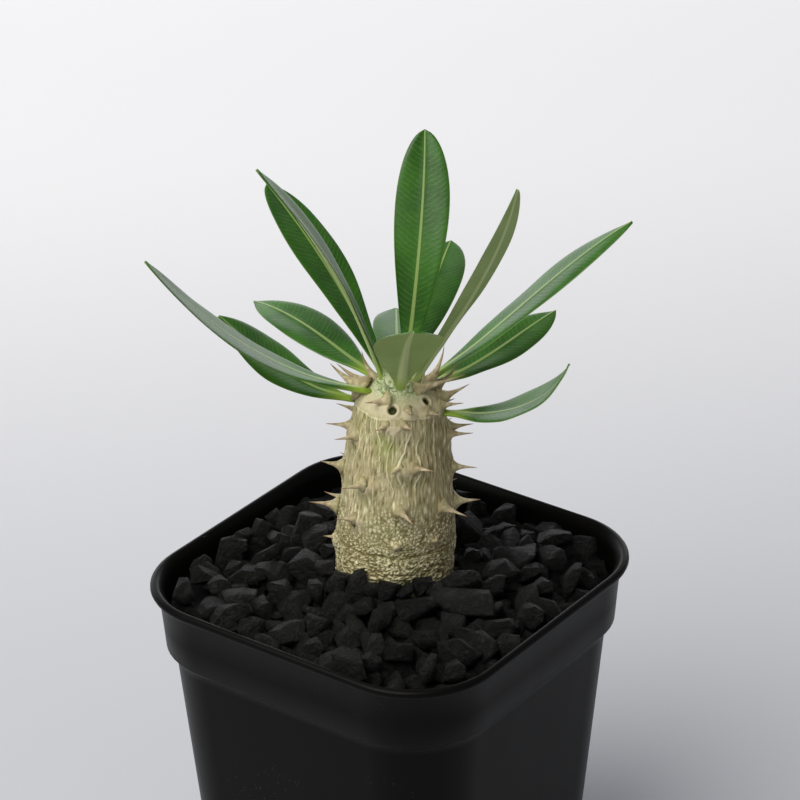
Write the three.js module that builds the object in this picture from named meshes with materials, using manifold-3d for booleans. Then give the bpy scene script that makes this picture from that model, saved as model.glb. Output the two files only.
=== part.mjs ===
// A potted Pachypodium horombense: square nursery pot, soil, black gravel, spiny trunk, thirteen leaves.
// Units are millimetres, +Z is up, the pot's sides run along X and Y, the origin is under its middle.
import * as THREE from 'three';
import Module from 'manifold-3d';

const wasm = await Module();
wasm.setup();

// Driving dimensions
const POT_HEIGHT = 100;
const RIM_WIDTH = 90;
const POT_FLOOR = 1.6;
const BODY_HALF_TOP = 40.6;
const BODY_HALF_FOOT = 33.8;
const COLLAR_HALF_LOW = 42.4;
const COLLAR_HALF_TOP = 43.2;
const COLLAR_LOW = POT_HEIGHT - 16.5;
const WALL = 1.2;
const CORNER_RADIUS = 19;
const DRAIN_RADIUS = 3.5;
const DRAIN_OFFSET = 20;
const GAP = 0.35;
const SOIL_TOP = 90;
const GRAVEL_HALF = 41.2;
const GRAVEL_CREST = 103;
const STONE_SPACING = 8.4;
const TRUNK_SIDES = 24;
const TRUNK_TOP = 46;
const LEAF_STEPS = 16;
const LEAF_THICKNESS = 0.64;
const RIB_DEPTH = 0.7;
const PETIOLE_HALF = 1.15;
const CORNER_STEPS = 5;
const FULL_TURN = Math.PI * 2;

// The trunk leans this way, by so much at the gravel and so much more at its top.
const LEAN_AZIMUTH = 37;
const LEAN_LOW = 0.9;
const LEAN_RISE = 1.7;

const rad = (degrees) => degrees * Math.PI / 180;
const mix = (a, b, t) => a + (b - a) * t;

// Seeded draws keep the gravel the same in every build.
function seeded(seed) {
  let state = seed >>> 0;
  return () => {
    state = (Math.imul(state, 1664525) + 1013904223) >>> 0;
    return state / 4294967296;
  };
}

// A closed solid from a stack of rings with equal counts, its ends closed by fans.
function loft(rings) {
  const count = rings[0].length;
  const points = [];
  const faces = [];
  for (const ring of rings) points.push(...ring);
  for (let level = 0; level < rings.length - 1; level += 1) {
    for (let i = 0; i < count; i += 1) {
      const a = level * count + i;
      const b = level * count + (i + 1) % count;
      faces.push(a, b, b + count, a, b + count, a + count);
    }
  }
  const middle = (ring) => ring.reduce((sum, p) => sum.add(p), new THREE.Vector3()).divideScalar(count);
  const low = points.push(middle(rings[0])) - 1;
  const high = points.push(middle(rings[rings.length - 1])) - 1;
  const last = (rings.length - 1) * count;
  for (let i = 0; i < count; i += 1) {
    faces.push(low, (i + 1) % count, i);
    faces.push(high, last + i, last + (i + 1) % count);
  }
  return { points, faces };
}

function toSolid({ points, faces }) {
  const vertProperties = new Float32Array(points.flatMap((p) => [p.x, p.y, p.z]));
  return new wasm.Manifold(new wasm.Mesh({ numProp: 3, vertProperties, triVerts: new Uint32Array(faces) }));
}

function toGeometry(solid) {
  const mesh = solid.getMesh();
  const geometry = new THREE.BufferGeometry();
  geometry.setAttribute('position', new THREE.BufferAttribute(mesh.vertProperties, 3));
  geometry.setIndex(new THREE.BufferAttribute(mesh.triVerts, 1));
  return geometry;
}

function fuse(solids) {
  return solids.reduce((whole, piece) => whole.add(piece));
}

// The largest body alone, without the closed hollows between fused stones.
function mainBody(solid) {
  return solid.decompose().sort((a, b) => b.volume() - a.volume())[0];
}

// A square ring with round corners, going round anticlockwise.
function squareRing(half, radius, z) {
  const ring = [];
  for (let corner = 0; corner < 4; corner += 1) {
    for (let step = 0; step <= CORNER_STEPS; step += 1) {
      const angle = (corner + step / CORNER_STEPS) * Math.PI / 2;
      const turn = corner * Math.PI / 2 + Math.PI / 4;
      const cx = Math.sign(Math.cos(turn)) * (half - radius);
      const cy = Math.sign(Math.sin(turn)) * (half - radius);
      ring.push(new THREE.Vector3(cx + radius * Math.cos(angle), cy + radius * Math.sin(angle), z));
    }
  }
  return ring;
}

// Pot: outside profile up to the rounded lip, then the hollow and four drain holes cut from it.
function makePot() {
  const rim = RIM_WIDTH / 2;
  const outside = toSolid(loft([
    squareRing(BODY_HALF_FOOT - 1, CORNER_RADIUS - 5, 0),
    squareRing(BODY_HALF_FOOT, CORNER_RADIUS - 5, 1.2),
    squareRing(BODY_HALF_TOP, CORNER_RADIUS - 1, COLLAR_LOW - 2),
    squareRing(COLLAR_HALF_LOW, CORNER_RADIUS, COLLAR_LOW),
    squareRing(COLLAR_HALF_TOP, CORNER_RADIUS, POT_HEIGHT - 2.3),
    squareRing(rim - 0.35, CORNER_RADIUS + 1, POT_HEIGHT - 1.9),
    squareRing(rim, CORNER_RADIUS + 1.3, POT_HEIGHT - 1.1),
    squareRing(rim - 0.35, CORNER_RADIUS + 1, POT_HEIGHT - 0.3),
    squareRing(rim - 1, CORNER_RADIUS + 0.5, POT_HEIGHT),
  ]));
  const hollow = toSolid(loft([
    squareRing(BODY_HALF_FOOT - WALL, CORNER_RADIUS - 6, POT_FLOOR),
    squareRing(BODY_HALF_TOP - WALL, CORNER_RADIUS - 2, COLLAR_LOW - 2),
    squareRing(COLLAR_HALF_LOW - WALL, CORNER_RADIUS - 1, COLLAR_LOW),
    squareRing(COLLAR_HALF_TOP - WALL, CORNER_RADIUS - 1, POT_HEIGHT - 1.9),
    squareRing(rim - 1.7, CORNER_RADIUS, POT_HEIGHT - 0.5),
    squareRing(rim - 1.4, CORNER_RADIUS, POT_HEIGHT + 1),
  ]));
  let pot = outside.subtract(hollow);
  for (const [sx, sy] of [[1, 1], [-1, 1], [-1, -1], [1, -1]]) {
    const hole = [];
    for (const z of [-1, POT_FLOOR + 1]) {
      const ring = [];
      for (let i = 0; i < 12; i += 1) {
        const angle = i / 12 * FULL_TURN;
        ring.push(new THREE.Vector3(
          sx * DRAIN_OFFSET + DRAIN_RADIUS * Math.cos(angle),
          sy * DRAIN_OFFSET + DRAIN_RADIUS * Math.sin(angle),
          z,
        ));
      }
      hole.push(ring);
    }
    pot = pot.subtract(toSolid(loft(hole)));
  }
  return pot;
}

// Trunk radius by height above the rim; below it the stem narrows to a taproot.
const TRUNK_PROFILE = [
  [-80, 0.7], [-70, 1.8], [-56, 3.2], [-40, 5], [-28, 8], [-18, 11], [-8, 12.8], [0, 13.3], [6, 13.5],
  [12, 13.3], [18, 12.8], [24, 12.3], [30, 11.7], [35, 11], [38, 10.6], [41, 10.1], [43, 9.4],
  [44.6, 8.2], [45.6, 6.2], [45.9, 4],
];

function profileRadius(z) {
  const above = TRUNK_PROFILE.findIndex(([level]) => level >= z);
  if (above <= 0) return TRUNK_PROFILE[0][1];
  const [z0, r0] = TRUNK_PROFILE[above - 1];
  const [z1, r1] = TRUNK_PROFILE[above];
  return mix(r0, r1, (z - z0) / (z1 - z0));
}

function trunkCentre(z) {
  const lean = LEAN_LOW + LEAN_RISE * Math.max(z, 0) / TRUNK_TOP;
  return [lean * Math.cos(rad(LEAN_AZIMUTH)), lean * Math.sin(rad(LEAN_AZIMUTH))];
}

// Spines: azimuth, height above the rim, length, sideways turn, upward pitch.
const FRONT_SPINES = [
  [227, 37, 5.2, -5, 9], [249, 36.6, 5, -8, 3], [222, 26.6, 4.6, 0, 16], [268, 26.2, 5.2, -20, 7],
  [219, 16, 5.6, 0, 10], [260, 17.4, 4.1, -14, 14], [289, 41, 3.2, -18, 6], [311, 41.3, 3.7, 30, 5],
  [307, 31.4, 3, -30, 0], [324, 31, 4.9, 36, 10], [309, 21, 4.7, 32, -11], [357, 19.5, 5.8, 14, -9],
  [29, 17.4, 5.3, 4, 5], [27, 26.3, 4.8, 0, 2], [22, 35.3, 5.1, 10, 2], [32, 35.7, 5, 0, 11],
  [203, 43, 5.9, 0, 30], [191, 43, 5.9, 0, 32], [182, 44.8, 5.2, -4, 50], [92, 44, 7.8, -14, 42],
  [84, 43.4, 5.4, -20, 33], [54, 41.6, 6.5, -14, 5], [36, 42, 5.3, 0, 40], [359, 43.2, 5.9, 20, 18],
  [280, 44.4, 3.8, -40, 4], [137, 44.6, 9, 0, 74],
];
// Spines on the side away from the viewer follow each other round the stem in pairs.
const BACK_FIRST = 52;
const BACK_SPAN = 160;
const PAIR_TURN = 137.5;
const PAIR_HALF_ANGLE = 10;

function backSpines() {
  const spines = [];
  const draw = seeded(11);
  for (let pair = 0; pair < 60 && spines.length < 26; pair += 1) {
    const z = 41 - pair * 0.66;
    const azimuth = (BACK_FIRST + pair * (360 - PAIR_TURN)) % 360;
    const fromStart = (azimuth - BACK_FIRST + 360) % 360;
    if (fromStart > BACK_SPAN || z < 7) continue;
    for (const side of [-1, 1]) {
      const length = mix(3.6, 5.8, draw());
      spines.push([azimuth + side * PAIR_HALF_ANGLE, z + draw() - 0.5, length, side * 14, mix(0, 16, draw())]);
    }
  }
  return spines;
}

const SPINES = [...FRONT_SPINES, ...backSpines()];

// Each spine stands on a low swelling of the stem.
function trunkRadius(z, angle) {
  const r = profileRadius(z);
  if (z < 4) return r;
  let swelling = 0;
  for (const [azimuth, height] of SPINES) {
    const turn = Math.atan2(Math.sin(angle - rad(azimuth)), Math.cos(angle - rad(azimuth)));
    const across = turn * r / 2.6;
    const along = (z - height) / 2.4;
    swelling = Math.max(swelling, Math.exp(-across * across - along * along));
  }
  return r + 0.7 * swelling * Math.min(1, (TRUNK_TOP - z) / 4);
}

function trunkBody(grow) {
  const levels = TRUNK_PROFILE.map(([z]) => z);
  for (let z = 8.5; z < 40; z += 6.2) levels.push(z + 0.4);
  levels.sort((a, b) => a - b);
  return toSolid(loft(levels.map((z) => {
    const [cx, cy] = trunkCentre(z);
    const ring = [];
    for (let i = 0; i < TRUNK_SIDES; i += 1) {
      const angle = i / TRUNK_SIDES * FULL_TURN;
      const r = trunkRadius(z, angle) + grow;
      const drop = z < -79 ? -grow : 0;
      ring.push(new THREE.Vector3(cx + r * Math.cos(angle), cy + r * Math.sin(angle), POT_HEIGHT + z + drop));
    }
    return ring;
  })));
}

// A thorn with a broad flat foot, sunk into the stem and drawn to a point.
function makeSpine([azimuth, z, length, turn, pitch]) {
  const out = new THREE.Vector3(Math.cos(rad(azimuth)), Math.sin(rad(azimuth)), 0);
  const heading = rad(azimuth + turn);
  const aim = new THREE.Vector3(Math.cos(heading) * Math.cos(rad(pitch)), Math.sin(heading) * Math.cos(rad(pitch)),
    Math.sin(rad(pitch)));
  const [cx, cy] = trunkCentre(z);
  const r = trunkRadius(z, rad(azimuth));
  const foot = new THREE.Vector3(cx, cy, POT_HEIGHT + z).addScaledVector(out, r);
  const side = new THREE.Vector3(0, 0, 1).cross(aim).normalize();
  const rise = new THREE.Vector3().crossVectors(aim, side);
  const stations = [[-1.8, 1.5, 1.2], [0.3, 0.75, 0.6], [1, 0.12, 0.12]];
  return toSolid(loft(stations.map(([t, wide, high]) => {
    const centre = foot.clone().addScaledVector(aim, t < 0 ? t : t * length);
    const ring = [];
    for (let i = 0; i < 4; i += 1) {
      const angle = i / 4 * FULL_TURN;
      ring.push(centre.clone().addScaledVector(side, wide * Math.cos(angle)).addScaledVector(rise, high * Math.sin(angle)));
    }
    return ring;
  })));
}

function makeTrunk() {
  return fuse([trunkBody(0), ...SPINES.map(makeSpine)]);
}

function makeSoil() {
  const low = POT_FLOOR + GAP;
  const lowHalf = BODY_HALF_FOOT - WALL - GAP;
  const highHalf = BODY_HALF_TOP - WALL - GAP;
  const body = toSolid(loft([
    squareRing(lowHalf, CORNER_RADIUS - 6, low),
    squareRing(highHalf, CORNER_RADIUS - 2, COLLAR_LOW - 2),
    squareRing(COLLAR_HALF_LOW - WALL - GAP, CORNER_RADIUS - 1, COLLAR_LOW),
    squareRing(COLLAR_HALF_LOW - WALL - GAP, CORNER_RADIUS - 1, SOIL_TOP),
  ]));
  return body.subtract(trunkBody(GAP));
}

// The bed rises from the walls to the stem.
function bedHeight(x, y) {
  const out = Math.max(Math.abs(x), Math.abs(y)) / GRAVEL_HALF;
  return mix(98, 94, Math.min(1, out * out));
}

function makeStone(centre, size, draw) {
  const turn = new THREE.Quaternion(draw() - 0.5, draw() - 0.5, draw() - 0.5, draw() - 0.5).normalize();
  const half = [size * mix(0.42, 0.6, draw()), size * mix(0.36, 0.5, draw()), size * mix(0.26, 0.4, draw())];
  const rings = [-1, 1].map((level) => [[-1, -1], [1, -1], [1, 1], [-1, 1]].map(([x, y]) => {
    const shrink = mix(0.66, 1, draw());
    return new THREE.Vector3(x * half[0] * shrink, y * half[1] * shrink, level * half[2] * mix(0.8, 1.1, draw()))
      .applyQuaternion(turn)
      .add(centre);
  }));
  return toSolid(loft(rings));
}

function makeGravel() {
  const draw = seeded(5);
  const bed = toSolid(loft([
    squareRing(GRAVEL_HALF, CORNER_RADIUS - 1, SOIL_TOP + GAP),
    squareRing(GRAVEL_HALF, CORNER_RADIUS - 1, 93.6),
    squareRing(34, 16, 94.8),
    squareRing(26, 14, 96),
    squareRing(18, 12, 97),
    squareRing(9, 6, 97.6),
  ]));
  const stones = [makeStone(new THREE.Vector3(-4, 37.5, 97.5), 10, draw)];
  for (let row = -6; row <= 6; row += 1) {
    for (let column = -6; column <= 6; column += 1) {
      const x = (column + (row % 2 ? 0.5 : 0)) * STONE_SPACING + (draw() - 0.5) * 2.4;
      const y = row * STONE_SPACING * 0.9 + (draw() - 0.5) * 2.4;
      const size = mix(8, 12, draw());
      if (Math.max(Math.abs(x), Math.abs(y)) > GRAVEL_HALF - 2 || Math.hypot(x, y) < 12) continue;
      stones.push(makeStone(new THREE.Vector3(x, y, bedHeight(x, y) - 0.6), size, draw));
    }
  }
  const inside = toSolid(loft([
    squareRing(GRAVEL_HALF, CORNER_RADIUS - 1, SOIL_TOP + GAP),
    squareRing(GRAVEL_HALF, CORNER_RADIUS - 1, GRAVEL_CREST),
  ]));
  return mainBody(fuse([bed, ...stones]).intersect(inside).subtract(trunkBody(GAP)));
}

// Leaves: azimuth, sweep, start radius, start height above the rim, length, width,
// elevation at base, middle and tip, roll at base and tip, fold at base and tip.
const LEAVES = [
  [224, 0, 7.8, 45.6, 62, 12.5, 14, 38, 58, 0, -4, 10, 6],
  [198, 0, 10.8, 41.5, 37, 12.5, 8, 22, 40, 0, 0, 8, 8],
  [167, 2, 8.8, 45, 42, 12.5, 10, 8, -10, 0, 0, 8, 0],
  [175, 0, 4.2, 46.6, 51, 12.5, 60, 48, 36, 0, 0, 8, 8],
  [222, 0, 3.4, 46.8, 60, 12.5, 76, 64, 52, 0, 0, 12, 12],
  [99, 26, 3.6, 46.8, 55, 12.4, 74, 66, 58, 0, 0, 8, 8],
  [112, 0, 7.2, 45.8, 46, 12.5, 24, 17, 10, 0, 0, 8, 8],
  [356, 0, 4, 46.6, 61, 12.5, 64, 60, 76, 8, 10, 8, 10],
  [49, 0, 6.8, 46.3, 59, 12, 31, 40, 32, -4, -4, 8, -14],
  [70, 8, 10.2, 43.8, 38, 12.5, 0, 16, 0, 0, 0, 6, 0],
  [19, 0, 11, 40.6, 34, 12, 2, 22, 54, 0, 4, 8, 8],
  [312, 0, 4, 46.6, 45, 14.5, 60, 44, 24, 0, 0, 4, 4],
  [128, 0, 9.8, 43.6, 33, 11, 6, 0, -4, 0, 0, 8, 8],
];

// Half the blade's width along its length: widest past the middle, with a short pointed tip.
function bladeHalf(t, width) {
  const body = Math.pow(t, 1.1) * Math.pow(1 - t, 0.62) / 0.325;
  const petiole = PETIOLE_HALF * Math.pow(1 - t, 0.6);
  return Math.max(0.45, Math.hypot(width / 2 * body, petiole));
}

function makeLeaf([azimuth, sweep, r0, z0, length, width, e0, em, e1, roll0, roll1, fold0, fold1]) {
  const lean = LEAN_LOW + LEAN_RISE * 0.82;
  const spot = new THREE.Vector3(
    lean * Math.cos(rad(LEAN_AZIMUTH)) + r0 * Math.cos(rad(azimuth)),
    lean * Math.sin(rad(LEAN_AZIMUTH)) + r0 * Math.sin(rad(azimuth)),
    POT_HEIGHT + z0,
  );
  const rings = [];
  for (let step = 0; step <= LEAF_STEPS; step += 1) {
    const t = step / LEAF_STEPS;
    const elevation = rad(e0 * (1 - t) * (1 - 2 * t) + em * 4 * t * (1 - t) + e1 * t * (2 * t - 1));
    const heading = rad(azimuth + sweep * t);
    const along = new THREE.Vector3(
      Math.cos(elevation) * Math.cos(heading), Math.cos(elevation) * Math.sin(heading), Math.sin(elevation));
    const across = new THREE.Vector3(-Math.sin(heading), Math.cos(heading), 0);
    const roll = rad(mix(roll0, roll1, t));
    across.applyAxisAngle(along, roll);
    const up = new THREE.Vector3().crossVectors(along, across);
    if (step > 0) spot.addScaledVector(along, length / LEAF_STEPS);
    const half = bladeHalf(t, width);
    const fold = rad(mix(fold0, fold1, t));
    const thick = LEAF_THICKNESS / 2;
    const rib = thick + RIB_DEPTH * (1 - t);
    const section = [
      [-1, thick], [-0.5, thick], [0, thick], [0.5, thick], [1, thick],
      [1, -thick], [0.5, -thick], [0, -rib], [-0.5, -thick], [-1, -thick],
    ];
    rings.push(section.map(([s, lift]) => spot.clone()
      .addScaledVector(across, s * half * Math.cos(fold))
      .addScaledVector(up, Math.abs(s) * half * Math.sin(fold) + lift)));
  }
  for (const ring of rings) ring.reverse();
  return toSolid(loft(rings));
}

function piece(name, solid, colour, roughness, metalness) {
  const material = new THREE.MeshStandardMaterial({ color: colour, roughness, metalness });
  const mesh = new THREE.Mesh(toGeometry(solid), material);
  mesh.name = name;
  return mesh;
}

const plant = new THREE.Group();
plant.name = 'potted_pachypodium';
plant.add(piece('pot', makePot(), 0x1b1b1c, 0.45, 0));
plant.add(piece('soil', makeSoil(), 0x3a2c20, 0.95, 0));
plant.add(piece('gravel', makeGravel(), 0x2a2a2b, 0.75, 0));
plant.add(piece('trunk', makeTrunk(), 0xb3a87c, 0.7, 0));
LEAVES.forEach((leaf, index) => {
  const number = String(index + 1).padStart(2, '0');
  plant.add(piece('leaf_' + number, makeLeaf(leaf), 0x3f6b35, 0.42, 0));
});

export default plant;
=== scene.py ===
# %% [markdown]
# # A potted Pachypodium horombense
# A young caudex plant stands in a square black nursery pot, its soil hidden under angular black gravel.
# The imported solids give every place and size; the cells below put finer pieces in their places.
# Lengths are worked out in millimetres and turned into metres once, when a piece is finished.

# %% Load the frame
import math
import random

import bmesh
import bpy
from mathutils import Matrix, Vector, noise
from mathutils.kdtree import KDTree


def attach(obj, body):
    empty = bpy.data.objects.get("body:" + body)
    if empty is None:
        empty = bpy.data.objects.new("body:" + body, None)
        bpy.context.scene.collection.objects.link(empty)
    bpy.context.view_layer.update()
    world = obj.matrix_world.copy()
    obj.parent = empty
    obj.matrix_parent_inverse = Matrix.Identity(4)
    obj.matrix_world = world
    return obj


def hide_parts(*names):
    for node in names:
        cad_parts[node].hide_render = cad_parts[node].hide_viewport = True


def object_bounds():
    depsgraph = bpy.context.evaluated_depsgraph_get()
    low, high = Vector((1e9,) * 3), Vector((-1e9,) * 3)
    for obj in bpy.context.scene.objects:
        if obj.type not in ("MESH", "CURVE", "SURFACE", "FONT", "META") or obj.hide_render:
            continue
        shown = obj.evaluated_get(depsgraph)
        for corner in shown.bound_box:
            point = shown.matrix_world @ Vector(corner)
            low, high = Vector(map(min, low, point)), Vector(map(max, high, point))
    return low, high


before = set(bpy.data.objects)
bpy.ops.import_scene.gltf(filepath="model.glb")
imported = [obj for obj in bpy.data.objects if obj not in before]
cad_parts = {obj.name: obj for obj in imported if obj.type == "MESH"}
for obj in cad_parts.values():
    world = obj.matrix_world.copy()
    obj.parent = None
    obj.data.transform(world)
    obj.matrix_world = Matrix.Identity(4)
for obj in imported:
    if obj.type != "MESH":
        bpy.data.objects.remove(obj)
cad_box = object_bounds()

MM = 0.001
POT_HEIGHT = 100.0
print("nodes:", len(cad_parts))

# %% [markdown]
# ## Shader sums
# A material's colour is a sum of patterns. Adding every Math node by hand hides what the sum says, so a
# small class wraps a socket and lets patterns be added, multiplied and compared like plain numbers.

# %% A wrapped socket with arithmetic
class Wire:
    def __init__(self, tree, socket):
        self.tree = tree
        self.socket = socket

    def node(self, kind, inputs=(), out=0, **settings):
        made = self.tree.nodes.new(kind)
        for key, value in settings.items():
            setattr(made, key, value)
        pairs = inputs.items() if isinstance(inputs, dict) else enumerate(inputs)
        for key, value in pairs:
            if isinstance(value, Wire):
                self.tree.links.new(value.socket, made.inputs[key])
            elif value is not None:
                made.inputs[key].default_value = value
        return Wire(self.tree, made.outputs[out])

    def sum(self, operation, *values):
        return self.node("ShaderNodeMath", values, operation=operation)

    def __add__(self, other):
        return self.sum("ADD", self, other)

    __radd__ = __add__

    def __sub__(self, other):
        return self.sum("SUBTRACT", self, other)

    def __rsub__(self, other):
        return self.sum("SUBTRACT", other, self)

    def __mul__(self, other):
        return self.sum("MULTIPLY", self, other)

    __rmul__ = __mul__

    def __truediv__(self, other):
        return self.sum("DIVIDE", self, other)

    def size(self):
        return self.sum("ABSOLUTE", self)

    def fraction(self):
        return self.sum("FRACT", self)

    def step(self, low, high):
        """0 below low, 1 above high, and a soft ramp between; low may be the larger."""
        return self.node("ShaderNodeMapRange", (self, low, high, 0.0, 1.0), interpolation_type="SMOOTHSTEP")

    def blend(self, first, second):
        """A colour between two, this value being the share of the second."""
        return self.node("ShaderNodeMix", {0: self, 6: first, 7: second}, out=2, data_type="RGBA")


def colour(red, green, blue):
    """A screen colour of 0 to 255 a channel, as the shader's linear values."""
    linear = []
    for channel in (red, green, blue):
        share = channel / 255
        linear.append(share / 12.92 if share <= 0.04045 else ((share + 0.055) / 1.055) ** 2.4)
    return (*linear, 1.0)


# %% [markdown]
# ## One way to start a material
# Every finish here is a Principled surface whose colour, roughness and relief are patterns on the object.
# Numbers that are the same all over are set on the shader's own sockets.

# %% Start a material
class Finish:
    def __init__(self, name, **constants):
        self.material = bpy.data.materials.new(name)
        self.material.use_nodes = True
        self.tree = self.material.node_tree
        self.shader = self.tree.nodes["Principled BSDF"]
        for key, value in constants.items():
            self.shader.inputs[key.replace("_", " ")].default_value = value
        self.start = Wire(self.tree, None)
        self.place = self.start.node("ShaderNodeTexCoord", out="Object")

    def value(self, name):
        """A number kept on the mesh, such as a height or a distance along a leaf."""
        return self.start.node("ShaderNodeAttribute", out="Fac", attribute_name=name)

    def noise(self, scale, detail=3.0, rough=0.55, place=None, distortion=0.0):
        sockets = {"Vector": place or self.place, "Scale": scale, "Detail": detail, "Roughness": rough,
                   "Distortion": distortion}
        return self.start.node("ShaderNodeTexNoise", sockets)

    def cells(self, scale):
        return self.start.node("ShaderNodeTexVoronoi", {"Vector": self.place, "Scale": scale})

    def stretch(self, x, y, z):
        return self.start.node("ShaderNodeMapping", {"Vector": self.place, "Scale": (x, y, z)})

    def wear(self, base=None, rough=None, relief=None, depth=0.0001, strength=0.6):
        if base:
            self.tree.links.new(base.socket, self.shader.inputs["Base Color"])
        if rough:
            self.tree.links.new(rough.socket, self.shader.inputs["Roughness"])
        if relief:
            sockets = {"Height": relief, "Distance": depth, "Strength": strength}
            bump = self.start.node("ShaderNodeBump", sockets)
            self.tree.links.new(bump.socket, self.shader.inputs["Normal"])
        return self.material


# %% [markdown]
# ## Finishing a piece
# Each bmesh is made in millimetres. One helper turns it into metres, points its faces outwards, hangs its
# material on it, tells the frame which body it rides on and hides the solid it stands for.

# %% Turn a bmesh into a piece
def mesh_from(bm, name):
    mesh = bpy.data.meshes.new(name)
    bm.to_mesh(mesh)
    bm.free()
    return mesh


def stand(name, data):
    """Puts a new object with this mesh, lamp or lens into the scene."""
    made = bpy.data.objects.new(name, data)
    bpy.context.scene.collection.objects.link(made)
    return made


def make_piece(bm, name, material, node, fix_normals=True):
    bmesh.ops.scale(bm, vec=(MM, MM, MM), verts=bm.verts)
    if fix_normals:
        bmesh.ops.recalc_face_normals(bm, faces=bm.faces)
    mesh = mesh_from(bm, name)
    for face in mesh.polygons:
        face.use_smooth = True
    mesh.materials.append(material)
    piece = stand(name, mesh)
    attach(piece, "root")
    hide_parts(node)
    print(name, "faces:", len(mesh.polygons))
    return piece


def mix(a, b, share):
    return a + (b - a) * share


def smooth_step(low, high, value):
    share = min(max((value - low) / (high - low), 0.0), 1.0)
    return share * share * (3 - 2 * share)


# %% [markdown]
# ## Camera, floor and light
# The pot stands corner on, seen from a little over thirty degrees with a long lens. A pale floor and two
# large
# soft lights stand in for a bright room: a window high on the left and a white wall behind. The floor also
# has
# painted light: its colour grows lighter towards the back.

# %% Camera
VIEW_DISTANCE = 775.4
VIEW_ELEVATION = math.radians(30.27)
VIEW_AZIMUTH = math.radians(36.85)
FOCAL_MM = 152.74
PAN = math.radians(0.198)
PITCH = math.radians(2.773)
ROLL = math.radians(-0.926)


def facing(azimuth, elevation):
    """A unit vector towards a viewer; azimuth 0 stands in front of the pot's flat face."""
    return Vector((math.sin(azimuth) * math.cos(elevation), -math.cos(azimuth) * math.cos(elevation),
                   math.sin(elevation)))


back = facing(VIEW_AZIMUTH, VIEW_ELEVATION)
right = Vector((math.cos(VIEW_AZIMUTH), math.sin(VIEW_AZIMUTH), 0))
up = back.cross(right)
aim = Matrix((right, up, back)).transposed().to_4x4()
aim = aim @ Matrix.Rotation(-PAN, 4, "Y") @ Matrix.Rotation(PITCH, 4, "X") @ Matrix.Rotation(ROLL, 4, "Z")
lens = bpy.data.cameras.new("photo_camera")
lens.lens = FOCAL_MM
lens.sensor_width = 36
lens.sensor_fit = "HORIZONTAL"
lens.clip_end = 20
camera = stand("photo_camera", lens)
eye = back * VIEW_DISTANCE + Vector((0, 0, POT_HEIGHT))
camera.matrix_world = Matrix.Translation(eye * MM) @ aim
bpy.context.scene.camera = camera
print("camera at", [round(value, 3) for value in camera.location])

# %% Floor
def floor_finish():
    finish = Finish("pale_floor", Roughness=0.9, Specular_IOR_Level=0.2)
    mottle = finish.noise(1.5, detail=2.0)
    # Painted light: the floor's colour grows lighter towards the back, standing in for light from the bright
    # wall behind.
    distance_back_for_painted_light = finish.start.node("ShaderNodeVectorMath", (finish.place, (-right.y, right.x, 0)), out="Value",
                               operation="DOT_PRODUCT")
    near = mottle.blend(colour(202, 204, 210), colour(206, 208, 214))
    return finish.wear(base=distance_back_for_painted_light.step(0.05, 0.5).blend(near, colour(251, 251, 253)))


plane = bmesh.new()
bmesh.ops.create_grid(plane, x_segments=1, y_segments=1, size=3.0)
floor = stand("floor", mesh_from(plane, "floor"))
floor.data.materials.append(floor_finish())
floor.location.z = cad_box[0][2]

# %% Lights
LIGHTS_AIM_AT = Vector((0, 0, 0.12))


def soft_light(name, azimuth, elevation, distance, size, power, tint, height=None):
    """A soft light at an azimuth and elevation in degrees, turned towards the plant."""
    lamp = bpy.data.lights.new(name, "AREA")
    lamp.shape = "ELLIPSE" if height is None else "RECTANGLE"
    lamp.size = size
    lamp.size_y = height or size
    lamp.energy = power
    lamp.color = tint
    holder = stand(name, lamp)
    towards = facing(math.radians(azimuth), math.radians(elevation))
    holder.location = towards * distance + LIGHTS_AIM_AT
    holder.rotation_euler = towards.to_track_quat("Z", "Y").to_euler()
    print(name, "light:", power, "watts at", [round(value, 2) for value in holder.location])


soft_light("window", azimuth=-12, elevation=55, distance=1.2, size=1.15, power=15, tint=(1.0, 0.98, 0.94))
soft_light("white_wall", azimuth=222, elevation=14, distance=1.25, size=2.2, height=0.7, power=8.5,
           tint=(0.97, 0.98, 1.0))

# %% Light from all round
world = bpy.data.worlds.new("room")
world.use_nodes = True
sky = world.node_tree.nodes["Background"]
sky.inputs["Color"].default_value = (0.95, 0.96, 1.0, 1.0)
sky.inputs["Strength"].default_value = 0.24
bpy.context.scene.world = world
bpy.context.scene.view_settings.view_transform = "Standard"

# %% [markdown]
# ## Pot
# A moulded pot is one thin wall: a foot, a tapering body, a collar that stacks on the next pot and a
# rounded lip. One rounded square, pulled up ring by ring over the lip and down inside, keeps its corners.

# %% Pot finish
def pot_finish():
    finish = Finish("satin_black_plastic", Specular_IOR_Level=0.075)
    cloud = finish.noise(60.0, detail=4.0)
    grain = finish.noise(2600.0, detail=2.0)
    streak = finish.noise(9.0, place=finish.stretch(30.0, 30.0, 4.0))
    specks = finish.noise(1500.0, detail=1.0).step(0.7, 0.76) * finish.noise(35.0).step(0.5, 0.75)
    base = cloud.blend(colour(7, 7, 6), colour(12, 11, 10))
    base = (specks * 0.55).blend(base, colour(120, 118, 114))
    rough = 0.3 + cloud * 0.1 + streak * 0.06 + specks * 0.3
    return finish.wear(base=base, rough=rough, relief=grain, depth=0.00006, strength=0.25)


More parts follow.
